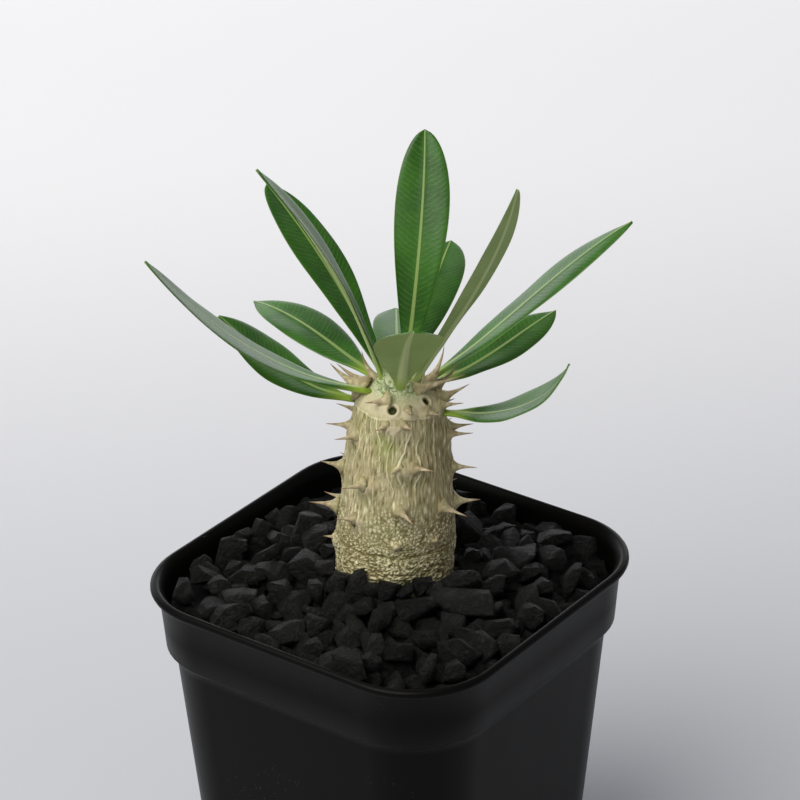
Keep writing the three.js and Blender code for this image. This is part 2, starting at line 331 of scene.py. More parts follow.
# %% Pot section
# Height, half the side and corner radius of each ring, from the foot over the lip to the inner floor.
POT_SECTION = [
    (0.0, 32.6, 13.5), (0.35, 33.3, 14.0), (1.3, 33.8, 14.3), (40.0, 37.1, 16.2), (80.3, 40.4, 18.0),
    (81.9, 40.6, 18.1), (82.8, 41.1, 18.3), (83.4, 42.0, 19.0), (84.0, 42.4, 19.2), (90.0, 42.8, 19.4),
    (97.0, 43.3, 19.6), (97.5, 43.6, 19.7), (97.8, 44.2, 20.0), (98.15, 44.7, 20.4), (98.7, 44.97, 20.6),
    (99.25, 44.95, 20.6), (99.65, 44.7, 20.4), (99.92, 44.3, 20.1), (100.0, 43.9, 20.0), (99.85, 43.5, 19.8),
    (99.4, 43.2, 19.6), (98.4, 42.4, 19.0), (96.5, 42.0, 18.7), (84.0, 41.2, 18.2), (82.0, 39.5, 17.0),
    (40.0, 35.9, 15.2), (1.6, 32.6, 13.2),
]
CORNER_STEPS = 14
print("pot rings:", len(POT_SECTION), "lip width:", 2 * max(half for _, half, _ in POT_SECTION))


# %% Pot shape
def move_ring(verts, old, new):
    """Moves a rounded square's vertices from one (height, half side, corner radius) to the next."""
    _, half_0, radius_0 = old
    z, half_1, radius_1 = new
    for vert in verts:
        for axis in (0, 1):
            sign = math.copysign(1, vert.co[axis])
            outward = (vert.co[axis] - sign * (half_0 - radius_0)) / radius_0
            vert.co[axis] = sign * (half_1 - radius_1) + outward * radius_1
        vert.co.z = z


def square_face(bm, half, radius, z):
    """A flat square face with round corners."""
    made = bmesh.ops.create_circle(bm, cap_ends=True, segments=4, radius=half * math.sqrt(2))
    bmesh.ops.rotate(bm, verts=made["verts"], cent=(0, 0, 0), matrix=Matrix.Rotation(math.pi / 4, 3, "Z"))
    bmesh.ops.translate(bm, verts=made["verts"], vec=(0, 0, z))
    bmesh.ops.bevel(bm, geom=made["verts"], offset=radius, affect="VERTICES", segments=CORNER_STEPS,
                    profile=0.5, material=-1)
    return max(bm.faces, key=lambda face: len(face.verts))


def pull_out(bm, face):
    """Extrudes a face in place and returns the new one, ready to be moved."""
    made = bmesh.ops.extrude_face_region(bm, geom=[face])
    return next(item for item in made["geom"] if isinstance(item, bmesh.types.BMFace))


def shape_pot():
    bm = bmesh.new()
    foot_z, foot_half, foot_radius = POT_SECTION[0]
    face = square_face(bm, foot_half, foot_radius, foot_z)
    for old, new in zip(POT_SECTION, POT_SECTION[1:]):
        pulled = pull_out(bm, face)
        if old is not POT_SECTION[0]:
            bmesh.ops.delete(bm, geom=[face], context="FACES_ONLY")
        face = pulled
        move_ring(face.verts, old, new)
    return bm


pot = make_piece(shape_pot(), "pot_wall", pot_finish(), "pot")

# %% Drain holes
DRAIN_RADIUS = 3.5
DRAIN_OFFSET = 20.0


def carve(piece, cutter):
    """Cuts one object out of another and keeps the result as the piece's own mesh."""
    cut = piece.modifiers.new("holes", "BOOLEAN")
    cut.operation = "DIFFERENCE"
    cut.object = cutter
    graph = bpy.context.evaluated_depsgraph_get()
    piece.data = bpy.data.meshes.new_from_object(piece.evaluated_get(graph))
    piece.modifiers.remove(cut)
    bpy.data.objects.remove(cutter)


drain = bmesh.new()
for side_x in (-1, 1):
    for side_y in (-1, 1):
        spot = Matrix.Translation((side_x * DRAIN_OFFSET * MM, side_y * DRAIN_OFFSET * MM, 0))
        bmesh.ops.create_cone(drain, cap_ends=True, segments=32, radius1=DRAIN_RADIUS * MM,
                              radius2=DRAIN_RADIUS * MM, depth=8 * MM, matrix=spot)
carve(pot, stand("drain_cutter", mesh_from(drain, "drain_cutter")))
for face in pot.data.polygons:
    face.use_smooth = abs(face.normal.z) < 0.99
print("pot faces with holes:", len(pot.data.polygons))

# %% [markdown]
# ## Soil
# The mix fills the pot but shows only through the drain holes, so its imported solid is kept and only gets
# the colour and crumb of bark and grit.

# %% Soil finish
def soil_finish():
    finish = Finish("potting_mix", Roughness=0.95)
    crumb = finish.cells(420.0)
    tone = finish.noise(160.0, detail=4.0)
    base = tone.step(0.35, 0.7).blend(colour(38, 27, 18), colour(92, 70, 48))
    return finish.wear(base=base, relief=crumb, depth=0.0008, strength=0.8)


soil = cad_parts["soil"]
soil.data.materials.clear()
soil.data.materials.append(soil_finish())

# %% [markdown]
# ## Gravel
# The dressing is crushed dark stone: angular pieces three to twelve millimetres long, with broken flat
# faces and worn edges. A box cut by random planes gives just that. A few such stones are made once and
# laid many times, turned and scaled by seeded draws. To lie like a heap they must not share one place, so
# each is first a ball that sinks and pushes its neighbours aside, and only then a stone.

# %% Gravel finish
def stone_finish(name, darkest, lightest):
    """Broken stone, each with its own tone, dusty on its lumps, and darkened low down in the gaps as painted
    shade.
    """
    finish = Finish(name, Specular_IOR_Level=0.28)
    shade = finish.value("shade")
    grit = finish.noise(1500.0, detail=6.0, rough=0.75)
    lumps = finish.noise(520.0, detail=6.0, rough=0.7, distortion=0.8)
    cloud = finish.noise(260.0, detail=4.0)
    dust = grit.step(0.5, 0.66) * lumps.step(0.45, 0.62)
    base = (shade * 0.5 + lumps * 0.5).blend(darkest, lightest)
    base = (dust * 0.35).blend(base, colour(92, 92, 90))
    speckle = finish.noise(2800.0, detail=2.0)
    base = (speckle.step(0.5, 0.7) * lumps.step(0.4, 0.6) * 0.4).blend(base, colour(78, 78, 76))
    # Painted shade: stones low in the heap, down in the gaps between the top stones, are darkened nearly to
    # black.
    height_for_painted_gap_shade = finish.start.node("ShaderNodeSeparateXYZ", (finish.place,), out="Z")
    base = (1 - height_for_painted_gap_shade.step(0.0915, 0.0975)).blend(base, colour(3, 3, 3))
    rough = 0.42 + cloud * 0.3
    relief = lumps.step(0.32, 0.68) * 0.7 + grit * 0.3
    return finish.wear(base=base, rough=rough, relief=relief, depth=0.0045, strength=1.0)


# %% Master stones
STONE_SEED = 8
MASTER_STONES = 18
STONE_CUTS = 8
LEAN_MOST = 0.35


def tilt(draw_one):
    """A turn about X and then about Y, each by an angle that draw_one gives."""
    about_x = Matrix.Rotation(draw_one(), 3, "X")
    return about_x @ Matrix.Rotation(draw_one(), 3, "Y")


def cut_stone(draw):
    """One broken stone about one millimetre across: a box with its corners and edges knocked off."""
    bm = bmesh.new()
    bmesh.ops.create_cube(bm, size=1.15)
    lean = tilt(lambda: draw.uniform(-LEAN_MOST, LEAN_MOST))
    bmesh.ops.transform(bm, matrix=lean.to_4x4(), verts=bm.verts)
    for _ in range(STONE_CUTS):
        normal = Vector((draw.gauss(0, 1), draw.gauss(0, 1), draw.gauss(0, 1))).normalized()
        plane = normal * draw.uniform(0.33, 0.5)
        made = bmesh.ops.bisect_plane(bm, geom=bm.verts[:] + bm.edges[:] + bm.faces[:], plane_co=plane,
                                      plane_no=normal, clear_outer=True)
        rim = [item for item in made["geom_cut"] if isinstance(item, bmesh.types.BMEdge)]
        if rim:
            bmesh.ops.edgenet_fill(bm, edges=rim)
    bmesh.ops.remove_doubles(bm, verts=bm.verts, dist=0.12)
    bmesh.ops.dissolve_limit(bm, angle_limit=math.radians(8), verts=bm.verts, edges=bm.edges)
    bmesh.ops.bevel(bm, geom=bm.edges[:], offset=0.035, affect="EDGES", segments=1, profile=0.5,
                    material=-1)
    bmesh.ops.recalc_face_normals(bm, faces=bm.faces)
    return bm


stone_draw = random.Random(STONE_SEED)
masters = [mesh_from(cut_stone(stone_draw), "stone_master") for _ in range(MASTER_STONES)]
print("faces of the master stones:", [len(mesh.polygons) for mesh in masters])

# %% Stones that stand out
# Place, width and height as seen by the camera, and turn in degrees.
BIG_STONES = [
    (-40, -14, 8, 10, 10), (-26, -19, 11, 5, 0), (-29, -27, 6, 6, 20), (-33, -35, 6, 6, 0),
    (-19, -36, 11, 7, -22), (-21, -30, 9, 3, 8), (-15, -29, 5, 6, 0), (-14, -23, 6, 6, 20),
    (-18, -16, 5, 5, 0), (-21, -9, 5, 4, -20), (-27, -12, 7, 4, -30), (-14, -13, 8, 8, -10),
    (-20, -3, 7, 7, 0), (-36, -2, 7, 9, 10), (-36, -10, 5, 6, 0), (-6, -20, 4, 6, 10),
    (-3, -17, 4, 7, 8), (2, -16, 6, 9, -8), (0, -28, 7, 8, 5), (5, -36, 5, 6, 30), (-3, -35, 8, 6, 10),
    (17, -29, 6, 6, 0), (11, -30, 4, 7, -25), (12, -21, 6, 6, 10), (-30, 12, 7, 8, 0),
    (-35, -26, 6, 5, 20), (13, -38, 7, 4, 0), (20, -35, 5, 4, 0), (16, -6, 6, 6, 0), (19, 2, 9, 6, -25),
    (24, -5, 13, 6, 8), (16, -13, 10, 7, -10), (34, -5, 9, 7, -20), (32, -18, 10, 8, 15),
    (23, -19, 7, 6, 0), (22, -27, 6, 6, 0), (31, -29, 4, 7, 20), (36, -26, 5, 6, 20), (24, 6, 5, 6, 20),
    (26, 18, 7, 4, -8), (18, 17, 5, 7, 5), (20, 25, 6, 7, -25), (15, 12, 4, 4, 0), (22, 11, 10, 4, -10),
    (32, 14, 5, 5, 10), (35, 21, 4, 9, 12), (37, 4, 6, 7, 15), (22, 33, 9, 4, -5), (11, 30, 7, 4, 0),
    (-1, 35, 5, 6, 0), (-7, 38, 5, 5, 0), (8, -12, 6, 6, 0), (-11, 15, 6, 6, 0), (4.9, -14.6, 5, 5, 0),
    (-8, -14.2, 4, 4, 10), (12, -10, 4, 4, 0), (-13, -7, 4, 4, 0), (13.6, -7.4, 5, 5, -10),
    (-2.8, -14.6, 5, 5, 10),
]
print("stones with a set place:", len(BIG_STONES))

# %% The heap's shape
GRAVEL_HALF = 41.9
GRAVEL_CORNER = 18.7
STEM_CLEARANCE = 13.3
STEM_CENTRE = Vector((0.72, 0.54))
HEAP_AT_STEM = 104.3
HEAP_AT_WALL = 99.9
HEAP_SLOPE_LENGTH = 20


def heap_top(x, y):
    """Height of the stones' tops: heaped at the stem, lower at the walls."""
    out = (math.hypot(x - STEM_CENTRE.x, y - STEM_CENTRE.y) - STEM_CLEARANCE) / HEAP_SLOPE_LENGTH
    swell = 0.7 * noise.noise(Vector((x, y, 0)) * 0.07)
    return mix(HEAP_AT_STEM, HEAP_AT_WALL, smooth_step(0, 1, out)) + swell


def wall_room(x, y):
    """How far a point is inside the pot's rounded wall."""
    dx = max(abs(x) - (GRAVEL_HALF - GRAVEL_CORNER), 0.0)
    dy = max(abs(y) - (GRAVEL_HALF - GRAVEL_CORNER), 0.0)
    if dx and dy:
        return GRAVEL_CORNER - math.hypot(dx, dy)
    return GRAVEL_HALF - max(abs(x), abs(y))


# %% A stone as a ball
HEAP_DEPTH = 10.0
BALL_SHARE = 0.46


class Stone:
    def __init__(self, spot, size, turn=None):
        self.spot = Vector(spot)
        self.size = size
        self.radius = BALL_SHARE * (size[0] * size[1] * size[2]) ** (1 / 3)
        self.turn = turn
        self.pinned = turn is not None


def keep_inside(stone):
    """Moves a stone back between the walls, off the stem and onto the bed."""
    spot = stone.spot
    short = stone.radius * 0.95 - wall_room(spot.x, spot.y)
    if short > 0:
        inward = Vector((-spot.x, -spot.y, 0)).normalized()
        spot += inward * short
    away = Vector((spot.x - STEM_CENTRE.x, spot.y - STEM_CENTRE.y, 0))
    short = STEM_CLEARANCE + stone.radius * 0.85 - away.length
    if short > 0:
        spot += away.normalized() * short
    spot.z = max(spot.z, heap_top(spot.x, spot.y) - HEAP_DEPTH + stone.radius)


# %% Let the balls settle
SETTLE_STEPS = 70
SINK_STEP = 0.3
PACKING = 1.06
LARGEST_RADIUS = 4.5


def settle(stones):
    """Sinks every free ball step by step and pushes it off the balls that it runs into."""
    for _ in range(SETTLE_STEPS):
        tree = KDTree(len(stones))
        for index, stone in enumerate(stones):
            tree.insert(stone.spot, index)
        tree.balance()
        for index, stone in enumerate(stones):
            if stone.pinned:
                continue
            stone.spot.z -= SINK_STEP
            for spot, other, distance in tree.find_range(stone.spot, stone.radius + LARGEST_RADIUS):
                need = (stone.radius + stones[other].radius) * PACKING
                if other != index and 0 < distance < need:
                    share = 0.8 if stones[other].pinned else 0.45
                    stone.spot += (stone.spot - spot).normalized() * (need - distance) * share
            keep_inside(stone)


# %% Fill the heap
def drop_stones(draw, count, small, large):
    """Free stones of sizes between small and large, strewn over the heap and a little above it."""
    made = []
    while len(made) < count:
        x = draw.uniform(-GRAVEL_HALF, GRAVEL_HALF)
        y = draw.uniform(-GRAVEL_HALF, GRAVEL_HALF)
        size = mix(small, large, draw.random() ** 1.3)
        if wall_room(x, y) > size * 0.4 and math.hypot(x, y) > STEM_CLEARANCE + 2:
            shape = [size * draw.uniform(*span) for span in ((1.0, 1.35), (0.75, 1.0), (0.6, 0.85))]
            z = heap_top(x, y) + draw.uniform(-HEAP_DEPTH * 0.7, 2)
            made.append(Stone((x, y, z), shape))
    return made


STICKS_OUT = 1.6
heap_draw = random.Random(STONE_SEED + 1)
stones = []
for x, y, wide, tall, turn in BIG_STONES:
    deep = 0.5 * (wide + tall) * heap_draw.uniform(0.7, 0.9)
    stones.append(Stone((x, y, heap_top(x, y) - 0.36 * tall), (wide * 0.9, deep * 0.88, tall * 0.82), turn))
stones += drop_stones(heap_draw, 390, 4.2, 7.0)
settle(stones)
stones += drop_stones(heap_draw, 200, 2.4, 4.0)
settle(stones)
stones = [stone for stone in stones
          if stone.pinned or stone.spot.z + stone.radius < heap_top(stone.spot.x, stone.spot.y) + STICKS_OUT]
print("stones:", len(stones))

# %% Turn the balls into stones
WALL_GAP = 0.15
LEAN_SPREAD = 0.55


def stone_matrix(stone, draw):
    """Where a stone lies: one with a set place faces the camera, a free one lies as it fell."""
    if stone.pinned:
        facing = Matrix((right, Vector((0, 0, 1)).cross(right), (0, 0, 1))).transposed()
        turn = Matrix.Rotation(-math.radians(stone.turn), 3, back) @ facing
    else:
        lean = tilt(lambda: draw.gauss(0, LEAN_SPREAD))
        turn = Matrix.Rotation(draw.uniform(0, math.tau), 3, "Z") @ lean
    return Matrix.Translation(stone.spot) @ turn.to_4x4() @ Matrix.Diagonal((*stone.size, 1))


def shape_gravel():
    bm = bmesh.new()
    draw = random.Random(STONE_SEED + 2)
    for stone in stones:
        mesh = draw.choice(masters).copy()
        mesh.transform(stone_matrix(stone, draw))
        short = WALL_GAP - min(wall_room(vert.co.x, vert.co.y) for vert in mesh.vertices)
        if short > 0:
            inward = Vector((-stone.spot.x, -stone.spot.y, 0)).normalized()
            mesh.transform(Matrix.Translation(inward * short))
        shades = mesh.attributes.new("shade", "FLOAT", "POINT")
        shade = draw.random()
        shades.data.foreach_set("value", [shade] * len(mesh.vertices))
        bm.from_mesh(mesh)
        bpy.data.meshes.remove(mesh)
    return bm


crushed_stone = stone_finish("crushed_stone", colour(5, 5, 5), colour(54, 54, 52))
make_piece(shape_gravel(), "gravel_stones", crushed_stone, "gravel", fix_normals=False)
for mesh in masters:
    bpy.data.meshes.remove(mesh)

# %% Bed under the stones
def shape_bed():
    """A low mound under the stones, so that no gap between them looks through to the soil; its dark grit is
    partly painted shade.
    """
    bm = bmesh.new()
    top = pull_out(bm, square_face(bm, GRAVEL_HALF - 0.6, GRAVEL_CORNER - 0.6, 90.4))
    bmesh.ops.translate(bm, verts=top.verts, vec=(0, 0, 2.0))
    for depth, rise in ((7.0, 0.6), (8.0, 0.8), (8.0, 1.2)):
        bmesh.ops.inset_region(bm, faces=[top], thickness=depth, use_even_offset=True)
        bmesh.ops.translate(bm, verts=top.verts, vec=(0, 0, rise))
    return bm


# The bed's grit is far darker than the stones above it: grit, with painted shade for the gaps between the
# stones.
dark_grit_with_painted_shade = stone_finish("dark_grit_with_painted_shade", colour(6, 6, 6), colour(14, 14, 14))
make_piece(shape_bed(), "gravel_bed", dark_grit_with_painted_shade, "gravel")

# %% [markdown]
# ## Stem
# The stem is a squat barrel with a corky skin. Near the gravel the skin is broken into a net of small
# pebbly plates, in the middle it is finely combed upwards, and near the top raised pale wrinkles wander up
# round the spine cushions. Spinning a profile gives the barrel, and moving each vertex along its normal
# gives plates and wrinkles as real relief. The same relief is kept on the mesh to colour ridges and cracks.

# %% Stem profile
# Height above the rim and radius, from the root's end to the top of the crown.
STEM_PROFILE = [
    (-80, 0.7), (-70, 1.8), (-56, 3.2), (-40, 5), (-28, 8), (-18, 11), (-8, 12.8), (0, 13.3), (6, 13.5),
    (12, 13.3), (18, 12.8), (24, 12.3), (30, 11.7), (35, 11), (38, 10.6), (41, 10.1), (43, 9.4),
    (44.6, 8.2), (45.6, 6.8), (46.6, 5.6), (47.8, 4.6), (48.8, 3.4), (49.4, 1.8), (49.6, 0.01),
]
LEAN_AZIMUTH = math.radians(37)
LEAN_LOW = 0.9
LEAN_RISE = 1.7
STEM_TOP = 46.0
CROWN_TOP = 48.5


def profile_radius(z):
    for (z0, r0), (z1, r1) in zip(STEM_PROFILE, STEM_PROFILE[1:]):
        if z0 <= z <= z1:
            return mix(r0, r1, (z - z0) / (z1 - z0))
    return STEM_PROFILE[0][1] if z < 0 else 0.01


def stem_centre(z):
    lean = LEAN_LOW + LEAN_RISE * max(z, 0) / STEM_TOP
    return Vector((lean * math.cos(LEAN_AZIMUTH), lean * math.sin(LEAN_AZIMUTH), 0))


print("stem width at the foot:", 2 * profile_radius(0), "and under the crown:", 2 * profile_radius(41))

# %% Spines in front
# Azimuth, height above the rim, length, sideways turn, upward pitch and girth.
FRONT_SPINES = [
    (227, 37, 5.2, -5, 9, 1), (249, 36.6, 5, -8, 3, 1), (222, 26.6, 4.8, 0, 16, 1.1),
    (268, 26.2, 5.2, -20, 7, 1), (219, 16, 5.9, 0, 10, 1.2), (260, 17.4, 4.1, -14, 14, 1),
    (289, 41, 3.2, -18, 6, 1), (311, 41.3, 3.7, 30, 5, 1),
    (307, 31.4, 3, -30, 0, 1), (324, 31, 4.9, 36, 10, 1),
    (309, 21, 4.7, 32, -11, 1), (357, 19.5, 5.8, 14, -9, 1.1), (29, 17.4, 5.3, 4, 5, 1.2),
    (27, 26.3, 5.0, 0, 2, 1), (22, 35.3, 5.1, 10, 2, 1), (32, 35.7, 5, 0, 11, 1.1),
    (208, 44.6, 8.6, 0, 40, 1.75), (198, 45, 7.4, 0, 32, 1.4), (195, 46.5, 6.6, -5, 62, 1.0),
    (36, 46.3, 9.8, 0, 68, 1.3), (48, 45, 7.0, 0, 42, 1.1), (350, 47.0, 11.0, 40, 20, 1.2),
    (30, 43.4, 6.6, 0, 30, 1.2), (12, 42.9, 4.8, 20, 8, 1.0), (284, 45.6, 4.8, -45, 6, 1.2),
    (137, 44.6, 9, 0, 74, 0.9), (318, 44.2, 2.0, 10, 5, 1.1), (217, 7.5, 2.0, 0, 8, 0.8),
    (347, 43.0, 2.6, 20, 0, 1.2),
]
print("spines in front:", len(FRONT_SPINES))

# %% Spines behind
FIRST_PAIR = (52, 41)
PAIR_TURN = 222.5
PAIR_DROP = 0.66
PAIR_HALF_ANGLE = 10
BEHIND_FROM = 80
BEHIND_SPAN = 98
LOWEST_PAIR = 7
MOST_BEHIND = 26


def back_spines():
    """Pairs on the unseen side follow each other round the stem by the same turn."""
    state = 11
    spines = []

    def draw():
        nonlocal state
        state = (state * 1664525 + 1013904223) % 2 ** 32
        return state / 2 ** 32

    first_azimuth, z = FIRST_PAIR
    pair = 0
    while z >= LOWEST_PAIR and len(spines) < MOST_BEHIND:
        azimuth = (first_azimuth + pair * PAIR_TURN) % 360
        if (azimuth - BEHIND_FROM) % 360 <= BEHIND_SPAN:
            for side in (-1, 1):
                length = mix(3.6, 5.8, draw())
                spines.append((azimuth + side * PAIR_HALF_ANGLE, z + draw() - 0.5, length, side * 14,
                               mix(0, 16, draw()), 1))
        pair += 1
        z = FIRST_PAIR[1] - pair * PAIR_DROP
    return spines


SPINES = FRONT_SPINES + back_spines()
print("spines:", len(SPINES))

# %% Scars and cushions
# Azimuth, height above the rim, radius and depth of each leaf scar.
SCARS = [(296, 44.5, 1.3, 1.2), (352, 45.0, 1.15, 1.2), (150, 42.8, 1.0, 0.6), (80, 43.6, 0.9, 0.6)]
# Older scars have healed to a flat pale patch.
HEALED = [(300, 40.4, 1.1), (238, 35.6, 0.9), (272, 25.0, 1.0), (90, 33.0, 1.1), (160, 30.0, 1.1)]
# Azimuth and height of the low cushions, most of them under a pair of spines, with their half sizes.
CUSHIONS = [(238, 36.4, 3.4, 1.9), (300, 40.8, 3.6, 1.9), (316, 30.7, 3.6, 1.9), (222, 26.2, 2.2, 1.7),
            (272, 25.9, 2.8, 1.7), (219, 15.8, 2.2, 1.7), (263, 17.2, 2.6, 1.7), (309, 21.4, 2.0, 1.8),
            (1, 19.3, 2.0, 1.8), (27, 17.3, 2.2, 1.8), (27, 26.2, 2.2, 1.8), (27, 35.4, 2.8, 1.9),
            (307, 12.5, 1.2, 0.8), (347, 12.0, 1.2, 0.8), (217, 7.5, 0.9, 0.7), (344, 45.0, 2.2, 1.3),
            (296, 44.2, 2.8, 1.6)]

# The first spines share these cushions; each remaining one stands on a small cushion of its own.
SPINES_THAT_SHARE = 14
swellings = CUSHIONS + [(azimuth, z - 0.3, 2.0, 1.4) for azimuth, z, *_ in SPINES[SPINES_THAT_SHARE:]]
print("cushions:", len(swellings), "scars:", len(SCARS) + len(HEALED))

# %% Surface of the stem
SWELL = 0.95


def turn_between(a, b):
    return math.atan2(math.sin(a - b), math.cos(a - b))


def cushion(z, angle):
    """The low swelling under the spines, from 0 to 1."""
    r = profile_radius(z)
    most = 0.0
    for azimuth, height, wide, tall in swellings:
        if abs(z - height) > 6:
            continue
        across = turn_between(angle, math.radians(azimuth)) * r / wide
        along = (z - height) / (tall if z > height else tall * 1.35)
        most = max(most, math.exp(-across * across - along * along))
    return most


def swell_room(z):
    """The cushions die away just under the crown's top."""
    return max(0.0, min(1.0, (CROWN_TOP - z) / 3))


def stem_radius(z, angle):
    r = profile_radius(z)
    if z < 4:
        return r
    return r + SWELL * cushion(z, angle) * swell_room(z)


def stem_point(azimuth, z, out=0.0):
    """A place on the stem's surface, or out from it, from an azimuth and a height above the rim."""
    angle = math.radians(azimuth)
    r = stem_radius(z, angle) + out
    return stem_centre(z) + Vector((r * math.cos(angle), r * math.sin(angle), POT_HEIGHT + z))


# %% [markdown]
# ### Bark
# The bark of the real stem has two faces: fine upright wrinkles with raised double lines above, and a net
# of small pebbly plates near the gravel. Both are sums of noise on the stem's own angle and height, so the
# stem's vertices are moved by them. A picture would stretch, and a bump alone would leave the outline flat.

# %% Wrinkles
LINE_SPACING = 2.5
LINE_GAP = 0.6
FINE_LINE_SPACING = 1.02


def ridge_line(u, z, spacing, width, seed):
    """Wavy upright lines side by side: 1 on a line, 0 between; some of them fade out for a stretch."""
    phase = u / spacing
    nearest = round(phase)
    share = noise.noise(Vector((nearest * 3.7, z * 0.09, seed)))
    return math.exp(-((phase - nearest) * spacing / width) ** 2) * smooth_step(-0.25, 0.15, share)


def wrinkles(angle, z):
    """Raised double lines that wander up the stem and part round the cushions."""
    u = angle * 12.0
    for azimuth, height, wide, tall in CUSHIONS:
        across = turn_between(angle, math.radians(azimuth)) * 12.0
        near = math.exp(-(across / (wide * 1.5)) ** 2 - ((z - height) / (tall * 2.2)) ** 2)
        u -= across * near * 0.65
    wander = 1.9 * noise.noise(Vector((u * 0.12, z * 0.09, 3.0)))
    u += wander + 0.5 * noise.noise(Vector((u * 0.4, z * 0.3, 9.0)))
    u += 0.16 * noise.noise(Vector((u * 1.2, z * 1.1, 5.0)))
    first = ridge_line(u, z, LINE_SPACING, 0.2, 0.5)
    second = ridge_line(u + LINE_GAP, z, LINE_SPACING, 0.16, 4.5) * 0.85
    weak = ridge_line(u + 1.7, z, FINE_LINE_SPACING, 0.15, 8.5) * 0.5
    return max(first, second, weak)


# %% Pebbly plates
PLATE_SEED = 5
# Without a seed of its own the vector noise starts from the clock, and each run would bend the net anew.
noise.seed_set(PLATE_SEED)


def plates(point, z):
    """A net of pebbly plates, wider than tall and largest at the foot: 0 in a crack, 1 on a plate."""
    grain = mix(0.46, 1.25, smooth_step(0, 14, z))
    warped = Vector((point.x, point.y, point.z * 0.82)) * grain + noise.noise_vector(point * 0.4) * 0.35
    distances, centres = noise.voronoi(warped)
    gap = distances[1] - distances[0]
    dome = 1 - 0.35 * min(distances[0] / 0.5, 1.0) ** 2
    lift = noise.cell(centres[0])
    return smooth_step(0.03, 0.24, gap) * dome, lift


# %% Bark relief
FOLD_AT = 42.4
FOOT_CRACK_AT = 9.3


def bark(point, angle, z):
    """Relief in millimetres, and its share from 0 in a crack to 1 on a ridge."""
    sway = noise.noise(point * 0.13)
    low = 1 - smooth_step(13, 23, z + 5 * sway)
    high = smooth_step(19, 28, z + 3 * sway)
    net, lift = plates(point, z)
    foot = 1 - smooth_step(3, 14, z)
    comb = noise.noise(Vector((angle * 30.0, z * 0.42, 1.0)))
    fine = noise.noise(point * 2.3)
    lines = wrinkles(angle, z) if high > 0 else 0.0
    fade = 1 - smooth_step(42.0, 43.6, z + 0.8 * sway)
    band_at = FOOT_CRACK_AT + 1.2 * noise.noise(Vector((angle * 2.0, 0, 7.0)))
    band = math.exp(-((z - band_at) / 0.28) ** 2)
    height = low * (net * mix(0.13, 0.34, foot) + lift * 0.16 * foot - 0.1 - band * 0.16)
    height += (1 - low) * (comb * 0.12 + fine * 0.05) * fade
    height += high * fade * lines * 0.3
    fold_at = FOLD_AT + 0.9 * noise.noise(Vector((angle * 1.6, 5.0, 0.0)))
    fold = math.exp(-((z - fold_at) / 0.3) ** 2)
    height += fold * 0.22
    height += 0.35 * noise.noise(point * 0.16) * smooth_step(-2, 4, z)
    share = low * net * (1 - band * 0.8) + (1 - low) * (0.5 + comb * 0.8 * fade)
    share = max(share * (1 - 0.25 * high), high * fade * lines, fold * 0.75)
    return height, min(max(share, 0.0), 1.0)


# %% Leaf scars
healed_spots = [(stem_point(azimuth, z), radius) for azimuth, z, radius in HEALED]
scar_spots = [(stem_point(azimuth, z), radius, depth) for azimuth, z, radius, depth in SCARS]


def scar_relief(point):
    """A crater with a raised pale ring; returns its height, ring share and hole share."""
    height = ring = hole = 0.0
    for spot, radius, depth in scar_spots:
        gap = (point - spot).length / radius
        if gap < 2.2:
            inside = 1 - smooth_step(0.62, 0.95, gap)
            edge = math.exp(-((gap - 1.15) / 0.3) ** 2)
            height += edge * 0.16 * radius - inside * depth
            ring = max(ring, edge)
            hole = max(hole, inside)
    for spot, radius in healed_spots:
        gap = (point - spot).length / radius
        if gap < 1.6:
            ring = max(ring, 0.8 * (1 - smooth_step(0.6, 1.2, gap)))
    return height, ring, hole


# %% Rows of the stem
STEM_TURNS = 360
UNDERGROUND_STEPS = [-80, -70, -56, -40, -28, -18, -10, -6]
ROW_STEP = 0.24


def stem_rows():
    """Radius and height of each row: wide steps under the gravel, fine ones above, even over the dome."""
    rows = [(profile_radius(z), z) for z in UNDERGROUND_STEPS]
    z = -4.0
    while z < 41.0:
        rows.append((profile_radius(z), z))
        z += ROW_STEP
    dome = [(profile_radius(z), z) for z in (41.0, 43.0, 44.6, 45.6, 46.6, 47.8, 48.8, 49.4)]
    dome.append((0.0, 49.6))
    for (r0, z0), (r1, z1) in zip(dome, dome[1:]):
        count = max(2, int(math.hypot(r1 - r0, z1 - z0) / 0.3))
        for step in range(count):
            rows.append((mix(r0, r1, step / count), mix(z0, z1, step / count)))
    rows.append((0.0, 49.6))
    return rows


print("stem rows:", len(stem_rows()))


# %% Stem shape
def number_layers(bm, *names):
    """Named numbers kept on every vertex, for the piece's own material to read."""
    return [bm.verts.layers.float.new(name) for name in names]


